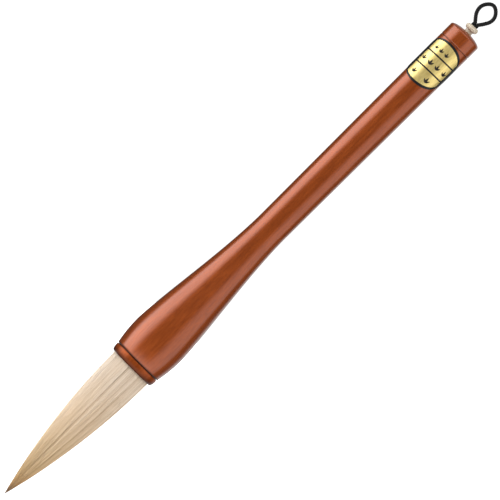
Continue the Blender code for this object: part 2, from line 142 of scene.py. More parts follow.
def turn_solid(name: str, outline: Outline, steps: int) -> bpy.types.Object:
    """Turns an outline about Z, as on a lathe.

    Args:
        name: The piece's name.
        outline: Radius and height of each corner, from axis to axis or round a closed ring.
        steps: Facets round the piece.

    Returns:
        The finished solid, at the origin.
    """
    bpy.ops.object.select_all(action="DESELECT")
    bpy.ops.mesh.primitive_plane_add(size=MM)
    piece = bpy.context.object
    piece.name = piece.data.name = name
    bpy.ops.object.mode_set(mode="EDIT")
    bpy.ops.mesh.select_all(action="SELECT")
    bpy.ops.mesh.merge(type="CENTER")
    bpy.ops.transform.translate(value=(outline[0][0], 0.0, outline[0][1]))
    ring = outline if outline[0][0] < MERGE_DISTANCE else [*outline, outline[0]]
    for (radius_a, height_a), (radius_b, height_b) in zip(ring, ring[1:]):
        step = (radius_b - radius_a, 0.0, height_b - height_a)
        bpy.ops.mesh.extrude_region_move(TRANSFORM_OT_translate={"value": step})
    bpy.ops.mesh.select_all(action="SELECT")
    bpy.ops.mesh.spin(steps=steps, angle=2 * math.pi, center=(0.0, 0.0, 0.0), axis=(0.0, 0.0, 1.0))
    bpy.ops.mesh.select_all(action="SELECT")
    bpy.ops.mesh.remove_doubles(threshold=MERGE_DISTANCE)
    bpy.ops.mesh.normals_make_consistent(inside=False)
    bpy.ops.object.mode_set(mode="OBJECT")
    bpy.ops.object.shade_smooth_by_angle(angle=SHARP_ANGLE)
    return piece


def store(piece: bpy.types.Object, name: str, values: np.ndarray) -> None:
    """Writes one number for each vertex of a piece, for its finish to read."""
    made = piece.data.attributes.new(name, "FLOAT", "POINT")
    made.data.foreach_set("value", np.ascontiguousarray(values, dtype=np.float32))


def move(piece: bpy.types.Object, spots: np.ndarray) -> None:
    """Moves the vertices of a piece to new places, one row each."""
    piece.data.vertices.foreach_set("co", spots.astype(np.float32).ravel())
    piece.data.update()


def places(piece: bpy.types.Object) -> np.ndarray:
    """The places of a piece's vertices.

    Args:
        piece: The piece.

    Returns:
        One row for each vertex.
    """
    co = np.zeros(len(piece.data.vertices) * 3, np.float32)
    piece.data.vertices.foreach_get("co", co)
    return co.reshape(-1, 3).astype(float)


def choose(piece: bpy.types.Object) -> None:
    """Makes a piece the only one that the next operator acts on.

    Args:
        piece: The piece.
    """
    bpy.ops.object.select_all(action="DESELECT")
    piece.select_set(True)
    bpy.context.view_layer.objects.active = piece


def dress(piece: bpy.types.Object, finish: bpy.types.Material) -> None:
    """Gives a piece its finish.

    Args:
        piece: The piece.
        finish: Its material.
    """
    piece.data.materials.clear()
    piece.data.materials.append(finish)


def strands(name: str, paths: np.ndarray, radii: np.ndarray, sides: int = 4) -> bpy.types.Object:
    """Many thin tapered fibres as one mesh.

    Args:
        name: The piece's name.
        paths: Points of each fibre, as fibre, point, coordinate.
        radii: Radius at each point, as fibre, point.
        sides: Facets round a fibre, 4 or more and even.

    Returns:
        The mesh of closed tubes.
    """
    curve = bpy.data.curves.new(name, "CURVE")
    curve.dimensions = "3D"
    curve.bevel_depth = 1.0
    curve.bevel_resolution = sides // 2 - 2
    for path, thickness in zip(paths, radii):
        line = curve.splines.new("POLY")
        line.points.add(len(path) - 1)
        line.points.foreach_set("co", np.hstack([path, np.ones((len(path), 1))]).ravel())
        line.points.foreach_set("radius", thickness.astype(float))
    piece = bpy.data.objects.new(name, curve)
    bpy.context.scene.collection.objects.link(piece)
    choose(piece)
    bpy.ops.object.convert(target="MESH")
    piece = bpy.context.object
    bpy.ops.object.mode_set(mode="EDIT")
    bpy.ops.mesh.select_all(action="SELECT")
    bpy.ops.mesh.fill_holes(sides=sides)
    bpy.ops.object.mode_set(mode="OBJECT")
    piece.data.shade_smooth()
    return piece


# Finishes ---------------------------------------------------------------------------------------


class Graph:
    """A tree of shader nodes."""

    def __init__(self, tree: bpy.types.NodeTree) -> None:
        """Takes the tree to work in."""
        self.tree = tree

    def add(self, kind: str, **settings: object) -> bpy.types.Node:
        """Adds a node.

        Args:
            kind: The node type, without ShaderNode.
            settings: The node's own properties.

        Returns:
            The new node.
        """
        node = self.tree.nodes.new("ShaderNode" + kind)
        for key, value in settings.items():
            setattr(node, key, value)
        return node

    def feed(self, node: bpy.types.Node, **inputs: Input) -> bpy.types.Node:
        """Sets or links a node's inputs.

        Args:
            node: The node to feed.
            inputs: A value or an output socket for each input, with _ for a space in its name,
                or in0, in1 and so on for its place.

        Returns:
            The same node.
        """
        for key, value in inputs.items():
            place = int(key[2:]) if key.startswith("in") else key.replace("_", " ")
            target = node.inputs[place]
            if isinstance(value, bpy.types.NodeSocket):
                self.tree.links.new(value, target)
            else:
                target.default_value = value
        return node

    def math(self, operation: str, a: Input, b: Input = 0.0) -> bpy.types.NodeSocket:
        """The result of a sum of two values or outputs."""
        return self.feed(self.add("Math", operation=operation), in0=a, in1=b).outputs[0]

    def noise(self, scale: Scale, detail: float = 4.0) -> bpy.types.NodeSocket:
        """Cloudy noise fixed to the piece and stretched along its axes.

        Args:
            scale: Waves per metre along each axis.
            detail: How many finer octaves it has.

        Returns:
            The noise's value, about 0.5.
        """
        coordinate = self.add("TexCoord").outputs["Object"]
        mapping = self.feed(self.add("Mapping"), Vector=coordinate, Scale=scale)
        noise = self.feed(self.add("TexNoise"), Vector=mapping.outputs[0], Scale=1.0, Detail=detail)
        return noise.outputs[0]

    def ramp(self, value: Input, stops: Sequence[tuple[float, Colour]]) -> bpy.types.NodeSocket:
        """Colours a value.

        Args:
            value: The value, from 0 to 1.
            stops: A place from 0 to 1 and the colour there, in order.

        Returns:
            The colour.
        """
        node = self.add("ValToRGB")
        bar = node.color_ramp
        while len(bar.elements) < len(stops):
            bar.elements.new(1.0)
        for element, (position, colour) in zip(bar.elements, stops):
            element.position = position
            element.color = (*colour, 1.0)
        self.feed(node, Fac=value)
        return node.outputs[0]

    def blend(self, mode: str, share: Input, a: Input, b: Input) -> bpy.types.NodeSocket:
        """Mixes two colours.

        Args:
            mode: The blend mode.
            share: How much of the second colour there is.
            a: The first colour.
            b: The second colour.

        Returns:
            The mixed colour.
        """
        node = self.add("Mix", data_type="RGBA", blend_type=mode)
        self.feed(node, in0=share, in6=a, in7=b)
        return node.outputs[2]

    def attribute(self, name: str) -> bpy.types.NodeSocket:
        """The number that the piece's vertices hold under a name."""
        return self.add("Attribute", attribute_name=name).outputs["Fac"]

    def rise(self, value: Input, start: float, end: float) -> bpy.types.NodeSocket:
        """A share that rises smoothly from 0 to 1 while a value goes from start to end."""
        node = self.add("MapRange", interpolation_type="SMOOTHSTEP")
        return self.feed(node, Value=value, From_Min=start, From_Max=end).outputs[0]

    def level(self, share: Input, low: float, high: float) -> bpy.types.NodeSocket:
        """A value that goes from low to high while a share goes from 0 to 1."""
        return self.feed(self.add("MapRange"), Value=share, To_Min=low, To_Max=high).outputs[0]


class Surface(Graph):
    """The nodes of one finish, round its Principled shader."""

    def __init__(self, name: str) -> None:
        """Starts a finish with a plain shader.

        Args:
            name: The material's name.
        """
        self.material = bpy.data.materials.new(name)
        self.material.use_nodes = True
        super().__init__(self.material.node_tree)
        self.shader = self.tree.nodes["Principled BSDF"]

    def set_shader(self, **inputs: Input) -> None:
        """Sets or links the shader's inputs."""
        self.feed(self.shader, **inputs)

    def bump(self, height: bpy.types.NodeSocket, strength: float, distance: float) -> None:
        """Presses a relief into the surface."""
        node = self.feed(self.add("Bump"), Height=height, Strength=strength, Distance=distance)
        self.set_shader(Normal=node.outputs[0])


@dataclass(frozen=True)
class LacqueredWood:
    """Stained close-grained wood under a glossy clear lacquer.

    Attributes:
        name: The material's name.
        painted_shade_lines: Lines of painted shade round it, over its seams and grooves and over faces that
            turn down away from the light, each a height, a half width and a strength from 0 to 1.
        fine_share: Share of the fine noise in the grain. The broad noise is the rest.
        grain_reach: Where the grain turns from deep to pale.
        pore_reach: Where the noise of the pores starts to show and is full.
        pore_share: How dark a full pore is.
        relief: Depth of the grain.
        coat: How much lacquer there is, away from the painted shade lines, where the lacquer is thinned.
    """

    name: str
    painted_shade_lines: tuple[tuple[float, float, float], ...] = ()
    pale: Colour = (0.335, 0.066, 0.0085)
    deep: Colour = (0.235, 0.042, 0.0045)
    pore: Colour = (0.14, 0.026, 0.004)
    # Colour of the painted shade in the lines.
    painted_shade_colour: Colour = (0.05, 0.04, 0.035)
    fine: Scale = (1500.0, 1500.0, 150.0)
    broad: Scale = (330.0, 330.0, 60.0)
    pores: Scale = (3200.0, 3200.0, 420.0)
    fine_share: float = 0.6
    grain_reach: Pair = (0.32, 0.68)
    pore_reach: Pair = (0.62, 0.74)
    pore_share: float = 0.3
    roughness: Pair = (0.28, 0.42)
    metallic: float = 0.35
    specular: float = 0.1
    relief: float = 0.03 * MM
    relief_strength: float = 0.2
    coat: float = 0.78
    coat_roughness: float = 0.15

    def make(self) -> bpy.types.Material:
        """Builds the finish.

        Returns:
            The material.
        """
        graph = Surface(self.name)
        fine, broad = graph.noise(self.fine, 5.0), graph.noise(self.broad, 3.0)
        fine_part = graph.math("MULTIPLY", fine, self.fine_share)
        broad_part = graph.math("MULTIPLY", broad, 1.0 - self.fine_share)
        grain = graph.math("ADD", fine_part, broad_part)
        colour = graph.ramp(grain, list(zip(self.grain_reach, (self.deep, self.pale))))
        black, white = (0.0, 0.0, 0.0), (1.0, 1.0, 1.0)
        holes = graph.ramp(graph.noise(self.pores, 2.0), list(zip(self.pore_reach, (black, white))))
        colour = graph.blend("MIX", graph.math("MULTIPLY", holes, self.pore_share), colour, (*self.pore, 1.0))
        axes = graph.feed(graph.add("SeparateXYZ"), Vector=graph.add("TexCoord").outputs["Object"])
        coat: Input = self.coat
        # Painted shade: each line darkens the colour towards the shade colour and thins the lacquer, so the
        # line also reflects less.
        for height, half_width, strength in self.painted_shade_lines:
            away = graph.math("ABSOLUTE", graph.math("SUBTRACT", axes.outputs[2], height))
            clear = graph.rise(away, 0.0, half_width)
            shade_share = graph.level(clear, strength, 0.0)
            colour = graph.blend("MULTIPLY", shade_share, colour, (*self.painted_shade_colour, 1.0))
            coat = graph.math("MULTIPLY", graph.math("SUBTRACT", 1.0, shade_share), coat)
        graph.set_shader(
            Base_Color=colour,
            Roughness=graph.level(fine, *self.roughness),
            Metallic=self.metallic,
            Specular_IOR_Level=self.specular,
            Coat_Weight=coat,
            Coat_Roughness=self.coat_roughness,
        )
        graph.bump(grain, self.relief_strength, self.relief)
        return graph.material


@dataclass(frozen=True)
class HairFinish:
    """Brush hair, cream at its root and darker towards its point.

    It reads the vertex numbers height, 0 at the tip and 1 at the mouth, and tone, from -1 to 1.

    Attributes:
        name: The material's name.
        stops: Colours from the tip to the mouth.
        shades: What the colour is multiplied by, from tone -1 to tone 1. The tone holds the hairs' own
            lighter and darker wisps, painted light and shade across the tuft and painted shade beside the
            partings.
        tone_shift: How much higher up a light hair takes its colour from.
    """

    name: str
    stops: tuple[tuple[float, Colour], ...] = (
        (0.00, (0.09, 0.050, 0.030)),
        (0.04, (0.26, 0.155, 0.080)),
        (0.09, (0.44, 0.268, 0.105)),
        (0.19, (0.60, 0.440, 0.245)),
        (0.37, (0.68, 0.535, 0.355)),
        (0.60, (0.74, 0.605, 0.455)),
        (0.90, (0.76, 0.660, 0.555)),
    )
    shades: tuple[tuple[float, Colour], ...] = (
        (0.00, (0.52, 0.44, 0.36)),
        (0.30, (0.84, 0.77, 0.68)),
        (1.00, (1.00, 1.00, 1.00)),
    )
    tone_shift: float = 0.03
    roughness: float = 0.42
    specular: float = 0.35
    sheen: float = 0.15
    sheen_roughness: float = 0.4

    def make(self) -> bpy.types.Material:
        """Builds the finish.

        Returns:
            The material.
        """
        graph = Surface(self.name)
        tone = graph.attribute("tone")
        place = graph.math("ADD", graph.attribute("height"), graph.math("MULTIPLY", tone, self.tone_shift))
        lightness = graph.math("ADD", graph.math("MULTIPLY", tone, 0.5), 0.5)
        colour, shade = graph.ramp(place, self.stops), graph.ramp(lightness, self.shades)
        graph.set_shader(
            Base_Color=graph.blend("MULTIPLY", 1.0, colour, shade),
            Roughness=self.roughness,
            Specular_IOR_Level=self.specular,
            Sheen_Weight=self.sheen,
            Sheen_Roughness=self.sheen_roughness,
        )
        return graph.material


@dataclass(frozen=True)
class PlainStuff:
    """A cloudy two-tone finish for the small pieces: resin, glue, thread, bead, knot, paper and ink.

    Attributes:
        name: The material's name.
        dark: Its darker tone.
        light: Its lighter tone.
        roughness: How dull it is.
        scale: Clouds per metre along each axis.
        relief: Depth of the clouds.
        gloss: Its specular level.
        reach: Where the clouds turn from dark to light.
    """

    name: str
    dark: Colour
    light: Colour
    roughness: float
    scale: Scale = (900.0, 900.0, 900.0)
    relief: float = 0.02 * MM
    gloss: float = 0.5
    reach: Pair = (0.35, 0.65)
    relief_strength: float = 0.3

    def make(self) -> bpy.types.Material:
        """Builds the finish.

        Returns:
            The material.
        """
        graph = Surface(self.name)
        cloud = graph.noise(self.scale)
        graph.set_shader(
            Base_Color=graph.ramp(cloud, list(zip(self.reach, (self.dark, self.light)))),
            Roughness=self.roughness,
            Specular_IOR_Level=self.gloss,
        )
        graph.bump(cloud, self.relief_strength, self.relief)
        return graph.material


@dataclass(frozen=True)
class BlackBraid:
    """Black braid, with painted shade in its furrows and painted light on its ridges. It reads the vertex
    number ridge, from 0 to 1.
    """

    name: str
    furrow: Colour = (0.001, 0.001, 0.001)
    ridge: Colour = (0.005, 0.0048, 0.0055)
    roughness: float = 0.65
    gloss: float = 0.2

    def make(self) -> bpy.types.Material:
        """Builds the finish.

        Returns:
            The material.
        """
        graph = Surface(self.name)
        # Painted shade in the furrows and painted light on the ridges, by the ridge number.
        graph.set_shader(
            Base_Color=graph.ramp(graph.attribute("ridge"), [(0.0, self.furrow), (1.0, self.ridge)]),
            Roughness=self.roughness,
            Specular_IOR_Level=self.gloss,
        )
        return graph.material


@dataclass(frozen=True)
class GoldFoil:
    """Pale gold foil, slightly brushed along the handle.

    Attributes:
        name: The material's name.
        reach: Where the brushing turns from dark to light.
    """

    name: str
    dark: Colour = (0.66, 0.50, 0.165)
    light: Colour = (0.86, 0.69, 0.27)
    scale: Scale = (2500.0, 2500.0, 400.0)
    reach: Pair = (0.3, 0.7)
    metallic: float = 0.6
    roughness: float = 0.34
    relief: float = 0.01 * MM
    relief_strength: float = 0.2

    def make(self) -> bpy.types.Material:
        """Builds the finish.

        Returns:
            The material.
        """
        graph = Surface(self.name)
        brushing = graph.noise(self.scale, 3.0)
        graph.set_shader(
            Base_Color=graph.ramp(brushing, list(zip(self.reach, (self.dark, self.light)))),
            Metallic=self.metallic,
            Roughness=self.roughness,
        )
        graph.bump(brushing, self.relief_strength, self.relief)
        return graph.material


@dataclass(frozen=True)
class GlowingWhite:
    """Matt white with a glow of its own."""

    name: str
    glow: float
    colour: Colour = (0.9, 0.9, 0.9)
    roughness: float = 0.9

    def make(self) -> bpy.types.Material:
        """Builds the finish.

        Returns:
            The material.
        """
        graph = Surface(self.name)
        graph.set_shader(
            Base_Color=(*self.colour, 1.0),
            Roughness=self.roughness,
            Emission_Color=(1.0,) * 4,
            Emission_Strength=self.glow,
        )
        return graph.material


# Studio -----------------------------------------------------------------------------------------


@dataclass
class Studio:
    """Camera, light tent and floor.

    Attributes:
        view_width: Width of what the camera sees at the brush.
        aim: Where it looks.
        lean: How far the brush leans over in its view.
        white: Glow of the background and the floor.
        tent: Brightness of the tent's wall at angles round the brush, from the front towards +X.
        tent_peak: The wall's greatest brightness.
        side_reach: How high a direction is where the wall starts and ends giving way to roof or ground.
        front_reach: How far to the front a direction is where the roof and the ground grow brighter.
        roof_glow: Brightness of the roof in front and behind.
        ground_glow: Brightness of the ground in front and behind.
    """

    lens: float = 600.0
    sensor: float = 36.0
    view_width: float = 180.4 * MM
    aim: tuple[float, float, float] = (0.19 * MM, 0.0, -123.9 * MM)
    lean: float = math.radians(44.86)
    floor_drop: float = 12.0 * MM
    floor_radius: float = 8.0
    floor_corners: int = 64
    white: float = 1.1
    tent: tuple[Pair, ...] = (
        (-180.0, 0.7),
        (-168.0, 0.5),
        (-158.0, 0.05),
        (-110.0, 0.05),
        (-97.0, 3.9),
        (-60.0, 3.9),
        (-38.0, 0.2),
        (-30.0, 0.12),
        (26.0, 0.12),
        (50.0, 1.5),
        (90.0, 1.5),
        (97.0, 0.05),
        (126.0, 0.05),
        (140.0, 0.9),
        (180.0, 0.7),
    )
    tent_peak: float = 3.9
    side_reach: Pair = (0.26, 0.46)
    front_reach: Pair = (0.0, 0.6)
    roof_glow: Pair = (2.0, 0.4)
    ground_glow: Pair = (3.3, 1.4)

    def build(self) -> None:
        """Builds the whole studio."""
        self.place_camera()
        self.hang_tent()
        self.lay_floor()
        bpy.context.scene.view_settings.view_transform = "Standard"
        log.info("studio ready")

    def place_camera(self) -> None:
        """Looks along +Y with the brush leaning to the upper right."""
        data = bpy.data.cameras.new("camera")
        data.lens, data.sensor_width = self.lens, self.sensor
        camera = bpy.data.objects.new("camera", data)
        bpy.context.scene.collection.objects.link(camera)
        sine, cosine = math.sin(self.lean), math.cos(self.lean)
        across, up, back = Vector((sine, 0, cosine)), Vector((-cosine, 0, sine)), Vector((0, -1, 0))
        place = Vector(self.aim) + back * (self.view_width * self.lens / self.sensor)
        camera.matrix_world = Matrix.Translation(place) @ Matrix((across, up, back)).transposed().to_4x4()
        bpy.context.scene.camera = camera

    def hang_tent(self) -> None:
        """A light tent with tall soft panels on both sides and a fill above and below, mostly in front."""
        world = bpy.data.worlds.new("light_tent")
        world.use_nodes = True
        bpy.context.scene.world = world
        graph = Graph(world.node_tree)
        direction = graph.feed(graph.add("SeparateXYZ"), Vector=graph.add("TexCoord").outputs["Generated"])
        x, y, z = direction.outputs
        forward = graph.math("MULTIPLY", y, -1.0)
        turn = graph.math("ARCTAN2", x, forward)
        share = graph.math("ADD", graph.math("DIVIDE", turn, 2 * math.pi), 0.5)
        stops = [((a + 180.0) / 360.0, (v / self.tent_peak,) * 3) for a, v in self.tent]
        soft = graph.feed(graph.add("Background"), Color=graph.ramp(share, stops), Strength=self.tent_peak)
        front = graph.rise(forward, *self.front_reach)
        for height, (near, far) in ((z, self.roof_glow), (graph.math("MULTIPLY", z, -1.0), self.ground_glow)):
            glow = graph.level(front, far, near)
            cover = graph.feed(graph.add("Background"), Color=(1.0,) * 4, Strength=glow)
            reach = graph.rise(height, *self.side_reach)
            soft = graph.feed(graph.add("MixShader"), in0=reach, in1=soft.outputs[0], in2=cover.outputs[0])
        seen = graph.feed(graph.add("Background"), Color=(1.0,) * 4, Strength=self.white)
        camera_ray = graph.add("LightPath").outputs["Is Camera Ray"]
        mix = graph.feed(graph.add("MixShader"), in0=camera_ray, in1=soft.outputs[0], in2=seen.outputs[0])
        graph.tree.links.new(mix.outputs[0], graph.tree.nodes["World Output"].inputs["Surface"])

    def lay_floor(self) -> None:
        """A pale floor just under the tip, which glows as white as the background."""
        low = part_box("core_hair_tip")[0].z - self.floor_drop
        bpy.ops.object.select_all(action="DESELECT")
        bpy.ops.mesh.primitive_circle_add(
            vertices=self.floor_corners, radius=self.floor_radius, fill_type="NGON", location=(0, 0, low)
        )
        floor = bpy.context.object
        floor.name = "floor"
        floor.data.materials.append(GlowingWhite("floor_white", self.white).make())
        floor.visible_diffuse = floor.visible_glossy = False


# Pieces -----------------------------------------------------------------------------------------


@dataclass
class CordLoop:
    """The braided cord, from the knot up through cap and bead, round the loop and back.

    Attributes:
        leg_offset: Distance of each leg from the axis.
        route: The loop's centre line in millimetres, across and above its base.
        route_base: Height of the loop's ends.
        leg_points: Points along each leg.
        curve_points: Points on the smooth curve from each point to the next.
        step: Distance between two rings of the cord's mesh.
        plaits: Strands that turn each way.
        plait_length: Length of one plait.
        relief: Depth of the furrows, as a share of the radius.
        swell: Fullness in its holes and round the loop.
        swell_reach: Between which heights it grows fuller.
        bend_reach: Between which heights it would bend when the loop flops over. It is not used.
    """

    diameter: float = 1.1 * MM
    length: float = 42.0 * MM
    leg_offset: float = 0.7 * MM
    route: tuple[Pair, ...] = (
        (0.70, 0.0), (0.95, 0.50), (1.60, 1.37), (2.27, 2.45), (2.87, 3.55), (3.20, 5.0), (3.0, 6.4),
        (2.38, 7.5), (1.44, 8.45), (0.36, 9.03), (-0.65, 9.03), (-1.66, 8.5), (-2.56, 7.5),
        (-3.14, 6.4), (-3.36, 5.0), (-3.07, 3.55), (-2.53, 2.45), (-1.73, 1.37), (-0.98, 0.50),
        (-0.70, 0.0),
    )  # fmt: skip
    route_base: float = -8.55 * MM
    leg_points: int = 4
    curve_points: int = 12
    step: float = 0.1 * MM
    sides: int = 20
    plaits: int = 3
    plait_length: float = 0.75 * MM
    relief: float = 0.16
    swell: Pair = (1.14, 1.37)
    swell_reach: Pair = (-10.3 * MM, -9.6 * MM)
    bend_reach: Pair = (-9.2 * MM, -7.5 * MM)

    def centreline(self) -> np.ndarray:
        """A smooth line along the middle of the cord.

        Returns:
            Evenly spaced points, one row each.
        """
        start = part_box("cord_leg_right")[0].z
        leg_end = self.route_base - self.diameter
        leg = [Vector((self.leg_offset, 0.0, z)) for z in spread(start, leg_end, self.leg_points)]
        loop = [Vector((x * MM, 0.0, self.route_base + h * MM)) for x, h in self.route]
        back = [Vector((-p.x, p.y, p.z)) for p in reversed(leg)]
        points = leg + loop + back
        fine = [points[0]]
        for before, a, b, after in zip([points[0], *points], points, points[1:], [*points[2:], points[-1]]):
            ahead, behind = a + (b - before) / 6, b - (after - a) / 6
            fine += interpolate_bezier(a, ahead, behind, b, self.curve_points)[1:]
        line = np.array([tuple(p) for p in fine])
        far = np.concatenate([[0.0], np.cumsum(np.linalg.norm(np.diff(line, axis=0), axis=1))])
        even = np.linspace(0.0, far[-1], round(far[-1] / self.step) + 1)
        return np.stack([np.interp(even, far, line[:, i]) for i in range(3)], axis=1)

    def braid(self, piece: bpy.types.Object, line: np.ndarray) -> None:
        """Presses the furrows of the braid into a smooth tube, and makes the loop fuller.

        Args:
            piece: The tube.
            line: Its centre line, a point for each ring of its mesh.
        """
        radius = self.diameter / 2
        outward = (places(piece).reshape(len(line), -1, 3) - line[:, None]) / radius
        side = np.cross(np.gradient(line, axis=0) / self.step, (0, 1, 0))
        angle = self.plaits * np.arctan2(outward[..., 1], np.einsum("rsi,ri->rs", outward, side))
        far = np.arange(len(line))[:, None] * self.step * math.pi / self.plait_length
        ridge = np.abs(np.cos(angle + far) * np.cos(angle - far))
        free = np.array([ease(z, *self.swell_reach) for z in line[:, 2]])[:, None]
        swell = self.swell[0] + (self.swell[1] - self.swell[0]) * free
        move(piece, line[:, None] + outward * radius * (swell - self.relief * (1.0 - ridge))[..., None])
        store(piece, "ridge", ridge.ravel())

    def build(self) -> None:
        """Models the cord as one braided tube round the loop, and dresses the knot."""
        line = self.centreline()
        piece = strands("braided_cord", line[None], np.full((1, len(line)), self.diameter / 2), self.sides)
        self.braid(piece, line)
        dress(piece, BlackBraid("black_cord").make())
        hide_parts("cord_leg_left", "cord_leg_right", "hanging_loop")
        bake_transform(piece)
        knot = PlainStuff("knot_black", (0.006,) * 3, (0.02,) * 3, 0.7, scale=(4000.0,) * 3)
        dress(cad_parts["cord_knot"], knot.make())
        log.info("cord: %.1f mm long", np.linalg.norm(np.diff(line, axis=0), axis=1).sum() / MM)


@dataclass
class Handle:
    """The turned barrel, its mouth ring and its end cap.

    Attributes:
        belly_rise: Height of the widest place above the barrel's front.
        belly_swell: How much narrower the front is than the belly.
        taper_length: From the belly to the waist.
        taper_fullness: How long the taper stays full behind the belly.
        taper_hollow: How softly it runs into the waist.
        edge: Size of the broken corners.
        corner: Where a broken corner's middle is, as a share of the edge.
        seam_gap: Between the barrel and the shoulders that fill the seams.
        socket_room: Of the socket behind the glue.
        bore_room: Of the rear bore in front of the peg.
        ring_length: From the ring's front to its back.
        ring_flat: The straight part of the ring's side.
        lip_radius: Where the ring's flat lip turns into its rounding.
        mouth_radius: The ring's inside at the lip.
        ring_shoulder: Radius of the shoulder that fills the seam behind the ring.
        spigot_bore: Inside radius of the spigot, round the hair's root.
        cap_gap: Between the barrel's rear and the cap.
        cap_length: From the cap's back to its top, with the crown.
        cap_shoulder: Radius of the shoulder that fills the seam before the cap.
        crown: Height of the cap's domed part.
        chamber_radius: Of the room for the knot in the peg.
        hole_radius: Of the hole for the cord.
        rim_turn: How far before the cord hole the dome ends, as an angle.
        rim_depth: Of the rounding into the cord hole.
        front_seam_shade: Half width and strength of the painted shade round the barrel's front, in the groove
            behind the ring. The other
        lines of painted shade are given alike: rear_seam_shade in the seam before the cap, lip_shade over the
            ring's front, which faces down away from the light, ring_groove_shade in the groove behind the
            ring and cap_seam_shade in the cap's seam.
        ring_coat: How much lacquer the ring has.
    """

    facets: int = 128
    belly_rise: float = 10.9 * MM
    belly_swell: float = 1.1 * MM
    taper_length: float = 58.0 * MM
    taper_fullness: float = 1.4
    taper_hollow: float = 1.8
    waist_radius: float = 6.25 * MM
    rear_radius: float = REAR_RADIUS
    edge: float = 0.12 * MM
    corner: float = 0.3
    seam_gap: float = 0.05 * MM
    socket_radius: float = 8.9 * MM
    socket_room: float = 0.3 * MM
    bore_radius: float = 4.5 * MM
    bore_room: float = 5.0 * MM
    ring_length: float = 3.05 * MM
    ring_flat: float = 0.55 * MM
    lip_radius: float = 9.0 * MM
    mouth_radius: float = 8.6 * MM
    ring_shoulder: float = 9.45 * MM
    spigot_radius: float = 8.6 * MM
    spigot_bore: float = 7.9 * MM
    cap_gap: float = 0.3 * MM
    cap_length: float = 6.6 * MM
    cap_shoulder: float = REAR_RADIUS - 0.16 * MM
    crown: float = 1.85 * MM
    peg_radius: float = 4.2 * MM
    chamber_radius: float = 2.6 * MM
    hole_radius: float = 1.6 * MM
    rim_turn: float = 0.03
    rim_depth: float = 0.25 * MM
    # Painted shade lines of the seams, the groove and the ring's downward front: half width and strength.
    front_seam_shade: Pair = (1.0 * MM, 0.95)
    rear_seam_shade: Pair = (0.3 * MM, 0.5)
    lip_shade: Pair = (3.0 * MM, 0.85)
    ring_groove_shade: Pair = (0.5 * MM, 0.95)
    cap_seam_shade: Pair = (0.4 * MM, 0.4)
    ring_coat: float = 0.15

    def __post_init__(self) -> None:
        """Reads the barrel's ends and its widest radius from the CAD."""
        low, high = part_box("handle_barrel")
        self.front, self.rear, self.belly_radius = low.z, high.z, high.x
        self.belly = self.front + self.belly_rise
        self.waist = self.belly + self.taper_length

    def radius(self, z: float) -> float:
        """Outer radius of the barrel.

        Args:
            z: The height to look at.

        Returns:
            The radius there.
        """
        if z < self.belly:
            return self.belly_radius - self.belly_swell * ((self.belly - z) / self.belly_rise) ** 2
        if z < self.waist:
            share = (z - self.belly) / self.taper_length
            hollow = (1.0 - share**self.taper_fullness) ** self.taper_hollow
            return self.waist_radius + (self.belly_radius - self.waist_radius) * hollow
        share = (z - self.waist) / (self.rear - self.waist)
        return self.waist_radius + (self.rear_radius - self.waist_radius) * share

    def build(self) -> None:
        """Models the three turned pieces."""
        self.barrel()
        self.ring()
        self.cap()
        log.info("handle: barrel, ring and cap")

    def turn(self, name: str, outline: Outline, node: str, wood: LacqueredWood, slot: str) -> None:
        """Turns and dresses a piece of the handle.

        Args:
            name: The piece's name.
            outline: Its outline, for the lathe.
            node: The CAD node that it stands for.
            wood: Its finish.
            slot: The record's slot for its finish. It is not used.
        """
        piece = turn_solid(name, outline, self.facets)
        dress(piece, wood.make())
        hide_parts(node)
        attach(piece, Body.HANDLE.value)

    def barrel(self) -> None:
        """The barrel, bored for the ring's spigot and the tuft in front and the cap's peg behind."""
        socket_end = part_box("glue_bed")[1].z + self.socket_room
        bore_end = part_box("end_cap")[0].z - self.bore_room
        edge, corner = self.edge, self.edge * self.corner
        front_radius = self.radius(self.front)
        outline = [
            (0.0, socket_end),
            (self.socket_radius, socket_end),
            (self.socket_radius, self.front),
            (front_radius - edge, self.front),
            (front_radius - corner, self.front + corner),
            *along(self.radius, self.front + edge, self.belly, 18),
            *along(self.radius, self.belly, self.waist, 48)[1:],
            *along(self.radius, self.waist, self.rear - 2 * edge, 12)[1:],
            (self.rear_radius, self.rear - edge),
            (self.rear_radius - corner, self.rear - corner),
            (self.rear_radius - edge, self.rear),
            (self.bore_radius, self.rear),
            (self.bore_radius, bore_end),
            (0.0, bore_end),
        ]
        # Painted shade in the seams at the barrel's front and rear.
        painted_shade_lines = ((self.front, *self.front_seam_shade), (self.rear, *self.rear_seam_shade))
        wood = LacqueredWood("handle_lacquer", painted_shade_lines)
        self.turn("turned_barrel", outline, "handle_barrel", wood, "handle_wood")

    def ring(self) -> None:
        """The rounded ring at the mouth, with its flat lip, and a spigot in the barrel's socket.

        A shoulder behind the ring fills the groove before the barrel almost to the surface.
        """
        low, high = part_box("mouth_ring")
        edge, corner = self.edge, self.edge * self.corner
        back = low.z + self.ring_length
        crest = back - self.ring_flat
        rounding = (high.x - self.lip_radius, low.z - crest)
        outline = [
            (self.mouth_radius, low.z),
            *quarter((self.lip_radius, crest), rounding, (math.pi / 2, 0.0), 16),
            (high.x, back - edge),
            (high.x - corner, back - corner),
            (high.x - edge, back),
            (self.ring_shoulder, back),
            (self.ring_shoulder, self.front - self.seam_gap),
            (self.spigot_radius, self.front - self.seam_gap),
            (self.spigot_radius, high.z),
            (self.spigot_bore, high.z),
            (self.spigot_bore, back),
        ]
        # Painted shade over the ring's front, which faces down away from the light, and in the groove behind
        # the ring.
        painted_shade_lines = ((low.z, *self.lip_shade), (self.front, *self.ring_groove_shade))
        wood = LacqueredWood("ring_lacquer", painted_shade_lines, coat=self.ring_coat)
        self.turn("turned_ring", outline, "mouth_ring", wood, "ring_wood")

